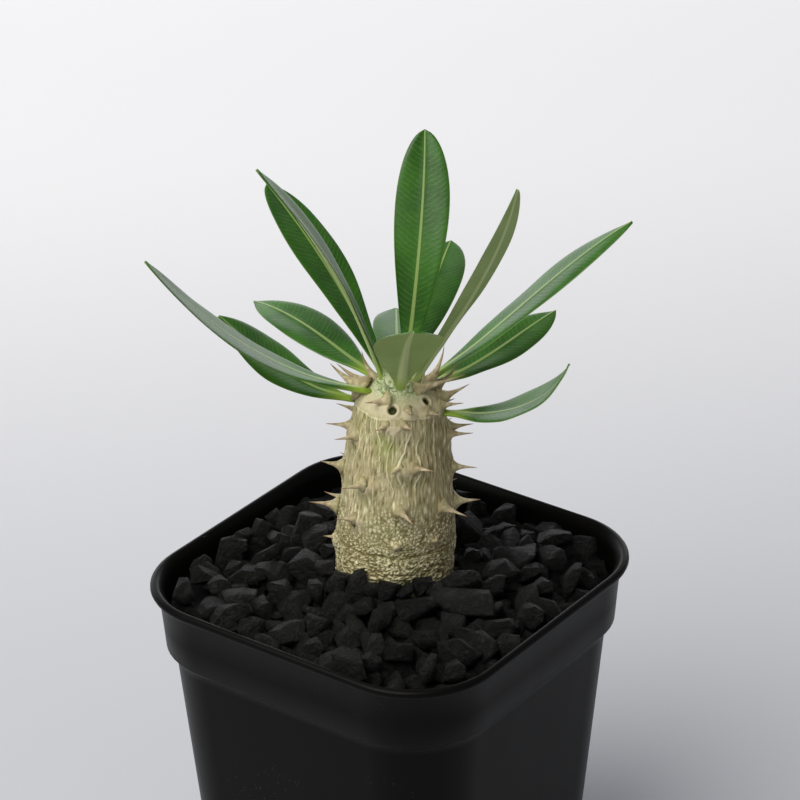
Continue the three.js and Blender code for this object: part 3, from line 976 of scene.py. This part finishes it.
def shape_stem():
    """A turned body with cushions, moved outwards by the bark's relief, whose shares are kept for colour."""
    bm = bmesh.new()
    relief_layer, height_layer, ring_layer, hole_layer, cushion_layer = number_layers(
        bm, "relief", "height", "ring", "hole", "cushion")
    line = [bm.verts.new((r, 0, z)) for r, z in stem_rows()]
    foot = bm.verts.new((0, 0, UNDERGROUND_STEPS[0]))
    edges = [bm.edges.new(pair) for pair in zip([foot] + line, line)]
    bmesh.ops.spin(bm, geom=line + [foot] + edges, cent=(0, 0, 0), axis=(0, 0, 1), angle=math.tau,
                   steps=STEM_TURNS, use_merge=True)
    bmesh.ops.remove_doubles(bm, verts=bm.verts, dist=0.0005)
    bmesh.ops.recalc_face_normals(bm, faces=bm.faces)
    places = []
    for vert in bm.verts:
        z = vert.co.z
        angle = math.atan2(vert.co.y, vert.co.x)
        r = math.hypot(vert.co.x, vert.co.y)
        swell = cushion(z, angle) if z > 0 else 0.0
        grown = r + SWELL * swell * swell_room(z) * min(1.0, r)
        vert.co = stem_centre(z) + Vector((grown * math.cos(angle), grown * math.sin(angle), POT_HEIGHT + z))
        vert[height_layer] = z
        vert[cushion_layer] = swell
        places.append((vert, angle, z))
    bm.normal_update()
    for vert, angle, z in places:
        if z < -5:
            continue
        rise, share = bark(vert.co, angle, z)
        scar, ring, hole = scar_relief(vert.co)
        calm = 1 - 0.8 * max(min(ring + hole, 1.0), 0.0)
        vert[relief_layer] = share
        vert[ring_layer] = ring
        vert[hole_layer] = hole
        vert.co += vert.normal * (rise * calm + scar)
    return bm


# %% [markdown]
# ### Colour of the bark
# The skin is straw-coloured, olive in its cracks and cream on its ridges, with greener and browner patches
# and a mealy top. The relief, height, scars and cushions kept on the mesh say where each tint goes, so that
# colour and shape agree everywhere.

# %% Bark finish
GREEN_SPOT = (291, 36.3)


def bark_finish():
    """Olive in the cracks, straw on the skin, cream on the ridges, green, worn and mealy places, and painted
    shade on the right side.
    """
    finish = Finish("corky_bark", Specular_IOR_Level=0.3)
    relief, height, ring, hole, swell = map(finish.value, ("relief", "height", "ring", "hole", "cushion"))
    cloud = finish.noise(150.0, detail=4.0)
    patch = finish.noise(70.0, detail=4.0)
    speck = finish.noise(1900.0, detail=4.0, rough=0.7)
    thread = finish.noise(1300.0, place=finish.stretch(1.0, 1.0, 0.3))
    crack = patch.step(0.4, 0.62).blend(colour(98, 98, 48), colour(118, 102, 60))
    crack = (height.step(4.0, 16.0) * 0.4).blend(crack, colour(140, 130, 84))
    skin = cloud.step(0.35, 0.65).blend(colour(156, 151, 102), colour(186, 173, 133))
    skin = (thread.step(0.35, 0.62) * 0.4).blend(skin, colour(212, 204, 160))
    ridge = patch.step(0.4, 0.6).blend(colour(238, 233, 192), colour(226, 216, 172))
    base = relief.step(0.05, 0.42).blend(crack, skin)
    base = (speck.step(0.56, 0.7) * 0.35).blend(base, colour(128, 118, 70))
    green = patch.step(0.54, 0.66) * height.step(6.0, 22.0)
    base = (green * 0.5).blend(base, colour(136, 150, 64))
    leafy = stem_point(*GREEN_SPOT) * MM
    off = finish.start.node("ShaderNodeVectorMath", (finish.place, tuple(leafy)), out="Value",
                            operation="DISTANCE")
    base = ((1 - off.step(0.0008, 0.004)) * 0.42).blend(base, colour(140, 158, 52))
    worn = finish.noise(48.0, detail=5.0, rough=0.6)
    base = (worn.step(0.5, 0.66) * 0.4).blend(base, colour(140, 118, 78))
    base = (worn.step(0.46, 0.3) * 0.35).blend(base, colour(206, 196, 168))
    # Painted shade: the stem's right side, away from the window, is tinted darker brown.
    aside = finish.start.node("ShaderNodeVectorMath", (finish.place, (right.x, right.y, 0)), out="Value",
                              operation="DOT_PRODUCT")
    base = (aside.step(0.002, 0.013) * 0.36).blend(base, colour(126, 98, 60))
    base = relief.step(0.45, 0.9).blend(base, ridge)
    base = (swell.step(0.35, 0.95) * 0.6).blend(base, colour(190, 176, 144))
    base = (height.step(41.9, 43.2) * 0.55).blend(base, colour(216, 206, 172))
    meal = speck.step(0.4, 0.6).blend(colour(140, 164, 102), colour(206, 214, 178))
    base = (height.step(44.8, 46.6) * 0.75).blend(base, meal)
    base = (ring * 0.45).blend(base, colour(222, 208, 174))
    base = hole.step(0.1, 0.6).blend(base, colour(50, 58, 6))
    rough = 0.55 + speck * 0.2
    grain = speck * 0.6 + thread * 0.4
    return finish.wear(base=base, rough=rough, relief=grain, depth=0.0002, strength=0.5)


make_piece(shape_stem(), "stem", bark_finish(), "trunk", fix_normals=False)

# %% [markdown]
# ## Spines
# Each spine is a hard thorn, broad and flat at its foot and drawn to a point, pale and horny with a darker
# tip. A cone cut into rings, flattened and bent gives it, and its foot goes well into the stem.

# %% One cone for every spine
SPINE_SIDES = 10
SPINE_RINGS = 9


def master_cone():
    """A cone one long, cut into rings, that every spine is a bent copy of."""
    bm = bmesh.new()
    bmesh.ops.create_cone(bm, cap_ends=True, segments=SPINE_SIDES, radius1=1, radius2=0.02, depth=1)
    bmesh.ops.translate(bm, verts=bm.verts, vec=(0, 0, 0.5))
    long_edges = [edge for edge in bm.edges if abs(edge.verts[0].co.z - edge.verts[1].co.z) > 0.5]
    bmesh.ops.subdivide_edges(bm, edges=long_edges, cuts=SPINE_RINGS)
    return mesh_from(bm, "cone_master")


# %% Bend a cone into a spine
SPINE_ROOT = 0.6


def direction(heading, rise):
    """A unit vector at an angle round the stem and an angle upwards."""
    return Vector((math.cos(heading) * math.cos(rise), math.sin(heading) * math.cos(rise), math.sin(rise)))


def add_spine(bm, tips, cone, spine, draw):
    azimuth, z, length, turn, pitch, girth = spine
    foot = stem_point(azimuth, z, -SPINE_ROOT)
    along = direction(math.radians(azimuth + turn), math.radians(pitch))
    side = Vector((0, 0, 1)).cross(along).normalized()
    lift = along.cross(side)
    bend = draw.uniform(-0.3, 0.5) + (0.5 if pitch > 20 else 0)
    flare = min(1.0, length / 4.5)
    first = len(bm.verts)
    bm.from_mesh(cone)
    bm.verts.ensure_lookup_table()
    for vert in bm.verts[first:]:
        share = vert.co.z
        angle = math.atan2(vert.co.y, vert.co.x)
        wide = girth * (1.1 * flare * math.exp(-share * 5.0) + 0.6 * (1 - share) ** 0.9) + 0.03
        high = girth * (1.7 * flare * math.exp(-share * 6.0) + 0.44 * (1 - share) ** 0.95) + 0.03
        centre = foot + along * (share * (length + SPINE_ROOT))
        centre += lift * bend * (share * share - share) * length * 0.4
        vert.co = centre + side * wide * math.cos(angle) + lift * high * math.sin(angle)
        vert[tips] = share


def shape_spines(spines, seed):
    bm = bmesh.new()
    [tips] = number_layers(bm, "to_tip")
    draw = random.Random(seed)
    cone = master_cone()
    for spine in spines:
        add_spine(bm, tips, cone, spine, draw)
    return bm


# %% Spine finish
def spine_finish():
    finish = Finish("horny_spine", Specular_IOR_Level=0.35)
    tip = finish.value("to_tip")
    streak = finish.noise(1100.0, detail=4.0)
    cloud = finish.noise(300.0, detail=2.0)
    base = streak.step(0.3, 0.7).blend(colour(166, 148, 112), colour(216, 202, 164))
    foot = streak.step(0.3, 0.7).blend(colour(156, 147, 104), colour(192, 182, 138))
    base = tip.step(0.08, 0.4).blend(foot, base)
    base = (cloud.step(0.45, 0.65) * 0.45).blend(base, colour(136, 112, 84))
    base = (tip.step(0.6, 1.0) * 0.8).blend(base, colour(140, 102, 78))
    return finish.wear(base=base, rough=0.42 + streak * 0.2, relief=streak, depth=0.0002, strength=0.5)


make_piece(shape_spines(SPINES, 21), "spines", spine_finish(), "trunk")

# %% [markdown]
# ### Mealy scales
# Between the leaf stalks the crown bears short scales under a pale green meal. They are thick spines that
# stand nearly upright, so the same bent cone serves, with a finish of its own.

# %% Places of the scales
# The same columns as the spines: three with a set place, the rest strewn round the crown.
scale_draw = random.Random(4)
CROWN_SCALES = [(270, 46.9, 4.4, 0, 76, 0.75), (334, 47.2, 3.2, 0, 72, 0.8), (292, 47.3, 2.0, 0, 70, 0.8)]
SCALES_ROUND = 16
for turn in range(SCALES_ROUND):
    azimuth = turn * 360 / SCALES_ROUND + scale_draw.uniform(-8, 8)
    CROWN_SCALES.append((azimuth, scale_draw.choice((46.9, 47.8, 48.6)),
                         scale_draw.uniform(1.6, 3.4), scale_draw.uniform(-20, 20),
                         scale_draw.uniform(62, 84), scale_draw.uniform(0.6, 0.85)))
print("mealy scales:", len(CROWN_SCALES))


# %% Scale finish
def scale_finish():
    finish = Finish("mealy_scale", Specular_IOR_Level=0.2)
    meal = finish.noise(1800.0, detail=4.0, rough=0.7)
    tip = finish.value("to_tip")
    base = meal.step(0.35, 0.65).blend(colour(150, 172, 104), colour(214, 220, 186))
    base = (tip.step(0.5, 1.0) * 0.5).blend(base, colour(206, 198, 160))
    return finish.wear(base=base, rough=0.7 + meal * 0.2, relief=meal, depth=0.0004, strength=0.7)


make_piece(shape_spines(CROWN_SCALES, 22), "crown_scales", scale_finish(), "trunk")

# %% [markdown]
# ## Leaves
# A leaf is a leathery blade on a short stalk: folded a little along its pale midrib, rolled back at the
# edges, with fine side veins and a thick rib underneath. Each is a grid rolled into a flat sleeve, so the
# top, the rounded edge and the rib are one closed skin. Distances across and along are kept for the veins.

# %% Leaf table
# Azimuth, sweep, start radius, start height, length, width, elevation at base, middle and tip,
# roll at base and tip, fold at base and tip, and taper.
LEAVES = [
    (228.2, 0, 7.8, 45.6, 60.9, 12.8, 16, 39.1, 54.2, 1, 0, 4, 4, 0.78),
    (203.1, 0, 10.8, 41.5, 35.6, 13.4, 3.7, 33.4, 42.5, -7, -7, 6, 6, 0.85),
    (167, 2, 8.8, 45, 42, 12.3, 10, 8, -10, -5, -5, 8, 4, 0.95),
    (175, 0, 4.2, 46.6, 51, 12.5, 60, 47, 36, 0, 0, 8, 8, 0.68),
    (222, 0, 3.4, 46.8, 59.7, 12.8, 76.5, 63.5, 52, 2, 1, 10, 10, 0.85),
    (99, 26, 3.6, 46.8, 55, 12.2, 74, 66, 58, 0, 0, 8, 8, 0.6),
    (112, 0, 7.2, 45.8, 45, 12.5, 24, 17, 8, 0, 0, 8, 8, 0.65),
    (357, 0, 4, 46.6, 63.2, 9.6, 62, 59, 77, 0, -4, 8, 8, 0.8),
    (49, 0, 6.8, 46.3, 57.4, 12, 31, 39, 28, -4, -4, 6, -3, 0.85),
    (70, 8, 10.2, 43.8, 35.6, 11.4, 0, 15, 8, 4, 4, 6, 2, 0.85),
    (19, 0, 11, 40.6, 34.5, 12, 2, 26, 72, 0, 4, 8, 8, 0.85),
    (313.4, 0, 4, 46.6, 36.8, 15.2, 62, 48, 30, 0, 0, 5, -4, 0.5),
    (127, 0, 9.8, 43.6, 33.5, 11, 6, 0, -3, 0, 0, 8, 8, 0.6),
]
print("leaves:", len(LEAVES), "from", min(leaf[4] for leaf in LEAVES), "to",
      max(leaf[4] for leaf in LEAVES), "mm long")

# %% Leaf outline
STALK_HALF = 1.15


def blade_half(t, width, taper):
    """Half the width at a share of the length; a larger taper draws the tip out to a finer point."""
    widest = 1.2 / (1.2 + taper)
    body = (t / widest) ** 1.2 * ((1 - t) / (1 - widest)) ** taper
    return math.hypot(width / 2 * body, STALK_HALF * (1 - t) ** 0.6)


# %% Midrib
LEAF_AROUND = 52
LEAF_ALONG = 84
STALK_ROOT = 1.7
CROWN_SHARE = 0.82


def leaf_stations(leaf):
    """Points along the midrib, each with its along, across and up directions and its fold."""
    azimuth, sweep, start_radius, start_height, length = leaf[:5]
    e0, em, e1, roll0, roll1, fold0, fold1 = leaf[6:13]
    lean = LEAN_LOW + LEAN_RISE * CROWN_SHARE
    base_angle = math.radians(azimuth)
    spot = Vector((lean * math.cos(LEAN_AZIMUTH) + start_radius * math.cos(base_angle),
                   lean * math.sin(LEAN_AZIMUTH) + start_radius * math.sin(base_angle),
                   POT_HEIGHT + start_height))
    stations = []
    for step in range(LEAF_ALONG + 1):
        t = step / LEAF_ALONG
        rise = math.radians(e0 * (1 - t) * (1 - 2 * t) + em * 4 * t * (1 - t) + e1 * t * (2 * t - 1))
        heading = math.radians(azimuth + sweep * t)
        along = direction(heading, rise)
        across = Matrix.Rotation(math.radians(mix(roll0, roll1, t)), 3, along) @ Vector(
            (-math.sin(heading), math.cos(heading), 0))
        if step:
            spot = spot + along * (length / LEAF_ALONG)
        fold = math.radians(mix(fold0, fold1, t))
        stations.append((t, spot.copy(), along, across, along.cross(across), fold))
    return stations


# %% Leaf shape
def shape_leaf(leaf, number):
    """A grid rolled round the midrib into a flat sleeve, with the fold, wave, edge and rib of a real leaf."""
    length, width, taper = leaf[4], leaf[5], leaf[13]
    stations = leaf_stations(leaf)
    draw = random.Random(100 + number)
    phase = draw.uniform(0, 9)
    bm = bmesh.new()
    across_layer, along_layer, upper_layer, edge_layer = number_layers(
        bm, "across", "along", "upper", "margin")
    bmesh.ops.create_grid(bm, x_segments=LEAF_AROUND, y_segments=LEAF_ALONG, size=0.5)
    for vert in bm.verts:
        turn = (vert.co.x + 0.5) * math.tau
        t, spot, along, across, up, fold = stations[round((vert.co.y + 0.5) * LEAF_ALONG)]
        s = -math.cos(turn)
        top = math.sin(turn) >= 0
        half = max(blade_half(t, width, taper), 0.12)
        x = s * half
        bent = math.sqrt(x * x + 0.16) - 0.4
        blade = smooth_step(0.05, 0.25, t)
        thick = mix(0.62, 0.24, blade) * math.sqrt(max(0.0, 1 - abs(s) ** mix(2.0, 9.0, blade)))
        thick *= mix(1.0, 0.5, t)
        lift = bent * math.tan(fold)
        lift -= 0.35 * blade * abs(s) ** 5
        wave = noise.noise(Vector((t * 4 + phase, s * 0.7, number)))
        lift += blade * 0.5 * wave * abs(s)
        if top:
            lift += thick + 0.1 * math.exp(-(x / 0.35) ** 2) * blade
        else:
            rib_width = mix(1.1, 0.3, t)
            rib = 0.75 * (1 - t) ** 0.8 * math.exp(-(x / rib_width) ** 4)
            lift -= thick + rib * blade
        if t == 0:
            spot = spot - along * STALK_ROOT
        vert.co = spot + across * x + up * lift
        vert[across_layer] = x
        vert[along_layer] = t * length
        vert[upper_layer] = 1.0 if top else 0.0
        vert[edge_layer] = abs(s)
    bmesh.ops.remove_doubles(bm, verts=bm.verts, dist=0.004)
    ends = [edge for edge in bm.edges if edge.is_boundary]
    bmesh.ops.holes_fill(bm, edges=ends)
    return bm


# %% [markdown]
# ### Leaf skin
# The upper side is dark and satin with fine pale side veins and a cream midrib; the underside is a pale
# matt green with a wide rib. The veins follow the distances kept on the blade, so they bend with it.

# %% Leaf finish
VEIN_SPACING = 1.25


def leaf_finish(name, length):
    finish = Finish(name, Specular_IOR_Level=0.36)
    across, along, margin = map(finish.value, ("across", "along", "margin"))
    upper = finish.value("upper").step(0.4, 0.6)
    wander = finish.noise(300.0)
    cloud = finish.noise(90.0)
    cells = finish.cells(1100.0)
    side = across.size()
    phase = (along - side * 0.5 - side * side * 0.03) / VEIN_SPACING + wander * 1.5
    from_vein = (phase.fraction() - 0.5).size()
    vein = from_vein.step(0.3, 0.47) * side.step(0.25, 0.9) * (1 - margin.step(0.8, 1.0))
    vein = vein * wander.step(0.25, 0.6)
    rib_width = 0.55 - along * (0.4 / length)
    rib = 1 - (side / rib_width).step(0.6, 1.25)
    stalk = 1 - along.step(0.5, 8.0)
    top = cloud.step(0.3, 0.7).blend(colour(38, 84, 14), colour(58, 112, 24))
    top = (cells * 0.25).blend(top, colour(30, 66, 14))
    top = (vein * 0.16).blend(top, colour(132, 168, 96))
    top = (rib * 0.85).blend(top, colour(150, 174, 98))
    below = cloud.step(0.3, 0.7).blend(colour(142, 164, 94), colour(156, 178, 110))
    below = (vein * 0.2).blend(below, colour(118, 142, 78))
    wide_rib = 1 - (side / (rib_width * 2.6)).step(0.6, 1.1)
    below = wide_rib.blend(below, colour(186, 200, 138))
    base = upper.blend(below, top)
    base = (margin.step(0.96, 0.99) * 0.5).blend(base, colour(126, 146, 84))
    base = (stalk * 0.85).blend(base, colour(150, 178, 62))
    rough = 0.6 - upper * 0.29 + cloud * 0.1
    relief = rib * 0.6 - vein * 0.1 + wander * 0.2 + cells * 0.25
    return finish.wear(base=base, rough=rough, relief=relief, depth=0.00015, strength=0.5)


for number, leaf in enumerate(LEAVES, start=1):
    node = f"leaf_{number:02d}"
    skin = leaf_finish("leathery_" + node, leaf[4])
    make_piece(shape_leaf(leaf, number), f"blade_{number:02d}", skin, node)
